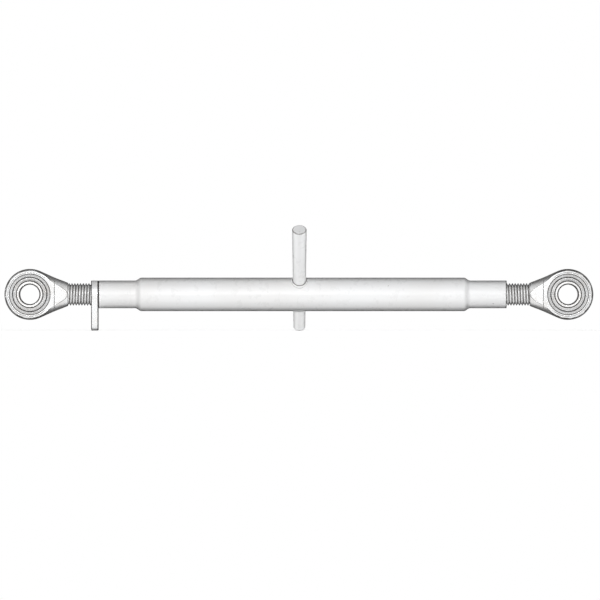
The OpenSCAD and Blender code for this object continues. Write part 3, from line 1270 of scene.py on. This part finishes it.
@dataclass
class Barrel:
    """Swaged tube, with the cross handle driven through it and the weld beads round the bar."""

    start: float
    length: float
    body_radius: float
    handle_x: float
    handle_up: float
    handle_down: float
    bore_radius: float = 12.15 * MM
    neck_radius: float = 13.8 * MM
    neck_length: float = 36.4 * MM
    shoulder: float = 6.2 * MM
    tapped_radius: float = 11.3 * MM
    bevel: float = 0.5 * MM
    mouth: float = 0.87 * MM
    mouth_round: float = 0.1 * MM
    thread_round: float = 0.2 * MM
    bend_gap: float = 0.5 * MM
    handle_lean: float = math.radians(40)
    handle_top: float = 7.2 * MM
    handle_low: float = 5.8 * MM
    handle_end: float = 1.4 * MM
    handle_trim: float = 0.02 * MM
    handle_face: float = 0.3
    handle_columns: int = 96
    weld_leg: float = 2 * MM
    weld_sunk: float = 0.12 * MM
    weld_size: float = 0.97
    weld_wander: Range = (0.05, 0.04)
    weld_waves: tuple[int, int] = (3, 7)
    weld_phase: float = 0.7
    weld_fullness: float = 0.8
    weld_ripples: int = 31
    ripple_depth: float = 0.1
    ripple_trail: float = 0.9
    ripple_flatness: float = 0.7
    weld_columns: int = 620
    columns: int = 160

    @classmethod
    def from_frame(cls) -> "Barrel":
        """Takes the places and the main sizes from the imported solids. The handle's box reaches as
        far as the round of each leaned end: along the bar to the round's centre, across it to
        that centre, and the round's own radius.

        Returns:
            The barrel with its handle.
        """
        low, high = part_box("barrel")
        bar_low, bar_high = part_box("turning_handle")

        def along(reach: float, radius: float) -> float:
            """Length along the bar whose rounded end reaches a height, less a trim that keeps it
            inside the solid's box.

            Args:
                reach: The height.
                radius: Radius of the bar at that end.

            Returns:
                The length.
            """
            across = (radius - cls.handle_end) * math.sin(cls.handle_lean)
            centre = (reach - cls.handle_end - across) / math.cos(cls.handle_lean)
            return centre + cls.handle_end - cls.handle_trim

        return cls(low.x, high.x - low.x, (high.z - low.z) / 2, (bar_low.x + bar_high.x) / 2,
                   along(bar_high.z, cls.handle_top), along(-bar_low.z, cls.handle_low))

    def swaged(self, end: float, middle: float, x: np.ndarray) -> np.ndarray:
        """Radius along the tube: one radius in the necks, another in the middle, and a half wave
        over each shoulder.

        Args:
            end: Radius in the necks.
            middle: Radius in the middle.
            x: Distances from the left end face.

        Returns:
            The radius at each distance.
        """
        from_end = np.minimum(x, self.length - x)
        share = np.clip((from_end - self.neck_length) / self.shoulder, 0, 1)
        return end + (middle - end) * (1 - np.cos(math.pi * share)) / 2

    def tube_surface(self) -> Surface:
        """Works out the tube as a ring turned about the link's axis: the outside, the right end
        face with its bevels, the inside, and the left end face.

        Returns:
            Grid of points, closed both ways, and the bend of each row.
        """
        rise = np.linspace(0, self.shoulder, 25)
        first, last = self.neck_length, self.length - self.neck_length - self.shoulder
        left_neck = np.linspace(self.bevel * 4, first - MM, 12)
        right_neck = np.linspace(self.length - first + MM, self.length - self.bevel * 4, 12)
        middle = np.linspace(first + self.shoulder + MM, last - MM, 60)
        x = np.concatenate([[self.bevel * 3], left_neck, first + rise, middle, last + rise,
                            right_neck, [self.length - self.bevel * 3]])
        outside = np.column_stack([self.swaged(self.neck_radius, self.body_radius, x), x])
        inside = np.column_stack([self.swaged(self.tapped_radius, self.bore_radius, x), x])[::-1]
        right = shouldered(rounded([
            (*outside[-1], 0), (self.neck_radius, self.length, self.bevel),
            (self.tapped_radius + self.mouth, self.length, self.mouth_round),
            (self.tapped_radius, self.length - self.mouth, self.thread_round), (*inside[0], 0)],
            steps=5), self.bend_gap)
        left = (right * (1, -1) + (0, self.length))[::-1]
        ring = np.concatenate([outside, right[1:-1], inside, left[1:-1]])
        points = along_x(revolved(ring, self.columns)) + np.array([self.start, 0, 0])
        return points, bends(ring)[:, None]

    def bar_radius(self, height: np.ndarray) -> np.ndarray:
        """Radius of the tapered bar at a height along it above the link's axis."""
        share = (height + self.handle_down) / (self.handle_up + self.handle_down)
        return self.handle_low + (self.handle_top - self.handle_low) * share

    def leaned(self, points: np.ndarray) -> np.ndarray:
        """Leans points by turning them about the link's axis, and moves them to the handle.

        Args:
            points: Points in the bar's own frame, whose axis is Z.

        Returns:
            The points in the link's frame.
        """
        cosine, sine = math.cos(self.handle_lean), math.sin(self.handle_lean)
        x, y, z = points[..., 0], points[..., 1], points[..., 2]
        return np.stack([x + self.handle_x, y * cosine - z * sine, y * sine + z * cosine], axis=-1)

    def handle_profile(self) -> np.ndarray:
        """Line from inside the edge of the bar's lower end face, up its side, to its upper end
        face.

        Returns:
            Rows of (radius, height along the bar).
        """
        low, high = -self.handle_down, self.handle_up
        low_radius, high_radius = float(self.bar_radius(low)), float(self.bar_radius(high))
        return shouldered(rounded([
            (self.handle_face * self.handle_low, low, 0), (low_radius, low, self.handle_end),
            (high_radius, high, self.handle_end), (self.handle_face * self.handle_top, high, 0)],
            steps=10))

    def bar(self) -> Skin:
        """Turns the bar's line about its axis, leans it, and closes both end faces.

        Returns:
            The bar's skin.
        """
        profile = self.handle_profile()
        whole = np.concatenate([profile, profile[::-1] * (-1, 1)])
        points = self.leaned(revolved(profile, self.handle_columns))
        skin = Skin()
        numbers = skin.grid(points, bends(whole)[:len(profile), None])
        for row, height in ((numbers[0], profile[0, 1]), (numbers[-1], profile[-1, 1])):
            skin.fan(row, self.leaned(np.array([0.0, 0.0, height])))
        return skin

    def bead_surface(self, side: Side) -> Surface:
        """Works out a weld bead. Its path is the line where bar and barrel meet: at angle a round
        the bar and distance r from its axis, the barrel's surface stands at the square root of
        (barrel radius squared - (r sin a) squared). Its section bulges from the toe on the barrel
        to the toe on the bar, and swells in crescents that trail towards both toes.

        Args:
            side: Side of the barrel.

        Returns:
            Grid of points, closed both ways, and the bend of each column, which is high at the
            toes, so that the finish darkens them to steel: painted shade where the bead meets bar and
            barrel.
        """
        angle = np.linspace(0, TURN, self.weld_columns, endpoint=False)[:, None]
        crown = np.linspace(0, math.pi / 2, 15)
        trail = self.ripple_trail * np.abs(np.sin(2 * (crown - math.pi / 4)))
        ripple = np.abs(np.sin(self.weld_ripples * angle / 2 + trail)) ** self.ripple_flatness
        slow, quick = self.weld_waves
        wander = (self.weld_wander[0] * np.sin(slow * angle + self.weld_phase)
                  + self.weld_wander[1] * np.sin(quick * angle))
        rippled = self.ripple_depth * (ripple - 1) * np.sin(2 * crown) ** 0.5
        swell = self.weld_leg * (self.weld_size + wander + rippled)
        reach = swell * np.cos(crown) ** self.weld_fullness
        rise = swell * np.sin(crown) ** self.weld_fullness
        root = np.array([[0.0, 0.0], [0.5, 0.0]])
        reach = np.concatenate([reach, 0 * angle + self.weld_leg * root[:, 0]], axis=1)
        rise = np.concatenate([rise, 0 * angle + self.weld_leg * root[:, 1]], axis=1)
        radius = self.bar_radius(side.value * self.body_radius) - self.weld_sunk + reach
        saddle = np.sqrt(self.body_radius ** 2 - (radius * np.sin(angle)) ** 2)
        height = side.value * (saddle - self.weld_sunk + rise)
        points = np.stack([radius * np.cos(angle), radius * np.sin(angle), height], axis=-1)
        return self.leaned(points), bends(np.column_stack([reach[0], rise[0]]))

    def build(self) -> list[bpy.types.Object]:
        """Makes the tube, the handle and the two weld beads.

        Returns:
            The pieces, all riding on the barrel.
        """
        enamel = Enamel("barrel_enamel").material()
        # The handle carries the barrel's enamel made lighter: painted light that makes up for the bar
        # facing away from the front light
        bar_enamel = Enamel("handle_enamel", lightness=0.8, wear_and_shade=(0.28, 0.5),
                            draw_stretch=(1, 0.5, 0.5)).material()
        bead_enamel = Enamel("bead_enamel", roughness=0.34, draw_stretch=(1, 1, 1)).material()
        barrel = closed("swaged_tube", self.tube_surface(), enamel)
        handle = self.bar().build("handle_bar", bar_enamel)
        pieces = [barrel, handle]
        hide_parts("barrel")
        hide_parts("turning_handle")
        for side, where in ((Side.THICK_END, "upper"), (Side.THIN_END, "lower")):
            bead = closed(f"{where}_weld_bead", self.bead_surface(side), bead_enamel, crease=70)
            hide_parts(f"{where}_handle_weld")
            pieces.append(bead)
        for piece in pieces:
            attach(piece, "barrel")
        return pieces


@dataclass
class LockLever:
    """Tapped plate that jams the barrel, with its tail hanging down."""

    start: float
    thickness: float
    head_radius: float
    top: float
    drop: float
    tip_radius: float = 9.5 * MM
    tapped_radius: float = 11.3 * MM
    mouth: float = 0.87 * MM
    edge: float = 0.7 * MM
    corner: float = 0.9 * MM
    shoulder: float = 0.6 * MM
    face_rings: tuple[float, ...] = (0.06, 0.3, 0.6, 0.9)
    columns: int = 420

    @classmethod
    def from_frame(cls) -> "LockLever":
        """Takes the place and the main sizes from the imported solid."""
        low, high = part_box("lock_lever")
        return cls(low.x, high.x - low.x, (high.y - low.y) / 2, high.z, -low.z)

    def outline(self) -> np.ndarray:
        """Outline seen along the screw, as points spaced evenly along it: a round head cut flat
        on top with eased corners, sides tangent to head and tip, and a round tip.

        Returns:
            Rows of (y, z).
        """
        span = self.drop - self.tip_radius
        lean = math.asin((self.head_radius - self.tip_radius) / span)
        cut = math.asin(self.top / self.head_radius)
        head = np.linspace(-lean, cut, 40)[:-1]
        tip = np.linspace(-math.pi / 2, -lean, 20)
        right = np.concatenate([
            self.tip_radius * np.column_stack([np.cos(tip), np.sin(tip)]) - (0, span),
            self.head_radius * np.column_stack([np.cos(head), np.sin(head)])])
        flat = self.head_radius * math.cos(cut)
        ease = rounded([(*right[-1], 0), (flat, self.top, self.corner), (0, self.top, 0)])
        half = np.concatenate([right, ease[1:]])
        loop = np.concatenate([half, half[-2::-1] * (-1, 1)])
        steps = np.hypot(*np.diff(loop, axis=0).T)
        length = np.concatenate([[0], np.cumsum(steps)])
        even = np.linspace(0, length[-1], self.columns, endpoint=False)
        return np.column_stack([np.interp(even, length, side) for side in loop.T])

    def surface(self) -> Surface:
        """Works out the plate. Each column runs from the hole, over a face, round the outer edge
        and back over the other face. A place in it is a share of the way from the hole to the
        outline, less an inset along the outline's normal where the edge is rounded.

        Returns:
            Grid of points, closed both ways, and the bend of each row on the side of the tail.
        """
        line = self.outline()
        ahead = np.roll(line, -1, axis=0) - np.roll(line, 1, axis=0)
        normal = np.column_stack([ahead[:, 1], -ahead[:, 0]]) / np.hypot(*ahead.T)[:, None]
        out = line / np.hypot(*line.T)[:, None]
        turn = np.linspace(0, math.pi / 2, 7)
        inset = self.edge * (1 - np.sin(turn))
        depth = self.edge * (1 - np.cos(turn))
        hole = [(self.tapped_radius, self.mouth), (self.tapped_radius + self.mouth, 0.0)]
        rings = [(radius * out, height) for radius, height in hole]
        start = (self.tapped_radius + self.mouth) * out
        stop = line - self.edge * normal
        rings += [(start + (stop - start) * share, 0.0) for share in self.face_rings]
        rings += [(line - offset * normal, height) for offset, height in zip(inset, depth)]
        rings += [(line, self.edge + self.shoulder)]
        rings += [(flat, self.thickness - height) for flat, height in reversed(rings)]
        grid = [np.column_stack([np.full(self.columns, self.start + height), flat])
                for flat, height in rings]
        tail = bends(np.array([(np.hypot(*flat[0]), height) for flat, height in rings]))
        return np.array(grid), tail[:, None]

    def build(self) -> list[bpy.types.Object]:
        """Makes the plate.

        Returns:
            The piece, riding on the lever's body.
        """
        zinc = PlateZinc("lever_plate_zinc")
        plate = closed("lock_lever_plate", self.surface(), zinc.material())
        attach(plate, "lock_lever")
        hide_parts("lock_lever")
        return [plate]


# Studio

@dataclass
class Studio:
    """Pale floor that brightens into a low wall far off, soft lights at the front, the back, both
    sides and above, and surroundings that metal reflects: bright, with a dark ring round the wall
    behind the link, so that flats shine and the edges of round metal are dark. The ring's four
    numbers are the shares of a direction that point to the back, where the dark starts, is full,
    still is, and ends. The overhead's are the heights of a direction between which the
    surroundings fade, and the share that is left."""

    floor: float
    middle: tuple[float, float] = (269.1 * MM, -5.6 * MM)
    view_width: float = 597.8 * MM
    camera_distance: float = 20.0
    sensor: float = 36.0
    floor_radius: float = 30.0
    wall_height: float = 1.1
    wall_bend: float = 0.5
    floor_tones: Range = (0.8, 0.83)
    glow: Range = (0.2, 2.0)
    glow_strength: Range = (0.75, 1.0)
    bright: float = 1.1
    dark: float = 0.02
    ring: tuple[float, float, float, float] = (0.1, 0.4, 0.995, 0.999)
    overhead: tuple[float, float, float] = (0.5, 0.9, 0.5)

    def sweep(self) -> bpy.types.Object:
        """Makes the floor as a disc that bends up into a low wall all round. It is lit from
        within, more so far off, where its own colour fades to black, so that it is evenly white
        behind the link. It takes shadows, but lights nothing, hides no light and shows in no
        reflection, so that the undersides keep their dark edges.

        Returns:
            The stage object.
        """
        bend = np.linspace(0, math.pi / 2, 12)
        radius = self.floor_radius - self.wall_bend + self.wall_bend * np.sin(bend)
        height = self.wall_bend * (1 - np.cos(bend))
        profile = np.column_stack([
            np.concatenate([[0.5, 3.0], radius, [self.floor_radius]]),
            np.concatenate([[0, 0], height, [self.wall_height]]) + self.floor])
        points = revolved(profile, 96) + np.array([self.middle[0], 0, 0])
        skin = Skin()
        numbers = skin.grid(points)
        skin.fan(numbers[0], (self.middle[0], 0, self.floor))
        recipe = Recipe("pale_floor")
        low, high = self.floor_tones
        tone = recipe.blend(recipe.noise(1.5, detail=2), grey(low), grey(high))
        away = recipe.distance((1, 1, 0), (self.middle[0], 0, 0))
        glow = recipe.span(away, *self.glow, *self.glow_strength)
        faded = recipe.blend(recipe.span(away, *self.glow), tone, grey(0.0))
        finish = recipe.finish(Base_Color=faded, Roughness=0.9, Specular_IOR_Level=0.0,
                               Emission_Strength=glow, Emission_Color=grey(1.0))
        piece = skin.build("studio_floor", finish, crease=30)
        piece.visible_diffuse = False
        piece.visible_glossy = False
        piece.visible_shadow = False
        return piece

    def sky(self) -> None:
        """Sets the surroundings, which only reflections and the view see. Their lightness depends
        on how far a direction points to the back, and falls to a share overhead."""
        world = bpy.data.worlds.new("studio_sky")
        world.use_nodes = True
        world.cycles_visibility.diffuse = False
        nodes = Nodes(world.node_tree)
        direction = nodes.coordinate.outputs["Generated"]
        ramp = nodes.node("ShaderNodeValToRGB", {"Fac": nodes.part(direction, "Y")})
        stops = ramp.color_ramp.elements
        while len(stops) < len(self.ring):
            stops.new(0.5)
        tones = (self.bright, self.dark, self.dark, self.bright)
        for stop, place, lightness in zip(stops, self.ring, tones):
            stop.position, stop.color = place, grey(lightness)
        low, high, share = self.overhead
        background = world.node_tree.nodes["Background"]
        nodes.plug(background.inputs["Color"], ramp.outputs["Color"])
        nodes.plug(background.inputs["Strength"],
                   nodes.span(nodes.part(direction, "Z"), low, high, 1.0, share))
        bpy.context.scene.world = world

    def lamp(self, name: str, place: Sequence[float], side: float, watts: float,
             glossy: bool = False) -> None:
        """Adds a square soft light that points at the middle of the link.

        Args:
            name: Name of the light.
            place: Where it stands, from the middle of the link.
            side: Length of its side.
            watts: Its power.
            glossy: Whether it shows in reflections.
        """
        data = bpy.data.lights.new(name, "AREA")
        data.shape = "SQUARE"
        data.size = side
        data.energy = watts
        light = bpy.data.objects.new(name, data)
        centre = Vector((self.middle[0], 0, self.middle[1]))
        light.location = centre + Vector(place)
        light.rotation_mode = "QUATERNION"
        light.rotation_quaternion = (centre - light.location).to_track_quat("-Z", "Y")
        light.visible_camera = False
        light.visible_glossy = glossy
        bpy.context.scene.collection.objects.link(light)

    def lens(self) -> None:
        """Sets the camera square to the link, far off with a long lens. Its focal length is the
        sensor's width times the distance over the width of the view."""
        data = bpy.data.cameras.new("camera")
        data.sensor_width = self.sensor
        data.lens = self.sensor * self.camera_distance / self.view_width
        camera = bpy.data.objects.new("camera", data)
        camera.location = (self.middle[0], -self.camera_distance, self.middle[1])
        camera.rotation_euler = (math.pi / 2, 0, 0)
        bpy.context.scene.collection.objects.link(camera)
        bpy.context.scene.camera = camera

    def build(self) -> None:
        """Sets up the floor, the surroundings, the lights and the camera."""
        bpy.context.scene.view_settings.view_transform = "Standard"
        self.sweep()
        self.sky()
        self.lamp("front_light", (-0.2, -3.2, 0.2), side=1.0, watts=100)
        self.lamp("low_light", (0.1, -2.6, -1.4), side=1.2, watts=18)
        self.lamp("back_light", (0.6, 3.2, 0.2), side=0.8, watts=60)
        self.lamp("low_back_light", (-0.6, 3.2, -0.2), side=0.8, watts=44)
        self.lamp("left_light", (-2.9, 0.5, 0.1), side=0.8, watts=48)
        self.lamp("right_light", (2.9, 0.5, 0.1), side=0.8, watts=48)
        self.lamp("top_light", (0.2, -2.2, 2.4), side=1.6, watts=12)
        self.lamp("sheen_light", (-0.5, -3.0, 1.0), side=1.6, watts=7, glossy=True)
        self.lens()


def main() -> None:
    """Builds the studio and each sub-assembly in order, and reports each piece."""
    logging.basicConfig(level=logging.INFO, format="%(message)s")
    Studio(floor=cad_box[0].z).build()
    assemblies = [
        Barrel.from_frame(),
        LockLever.from_frame(),
        BallEnd.from_frame("left", 1, Hand.LEFT),
        BallEnd.from_frame("right", -1, Hand.RIGHT),
    ]
    for assembly in assemblies:
        for piece in assembly.build():
            log.info("%s: %d faces", piece.name, len(piece.data.polygons))


if __name__ == "__main__":
    main()
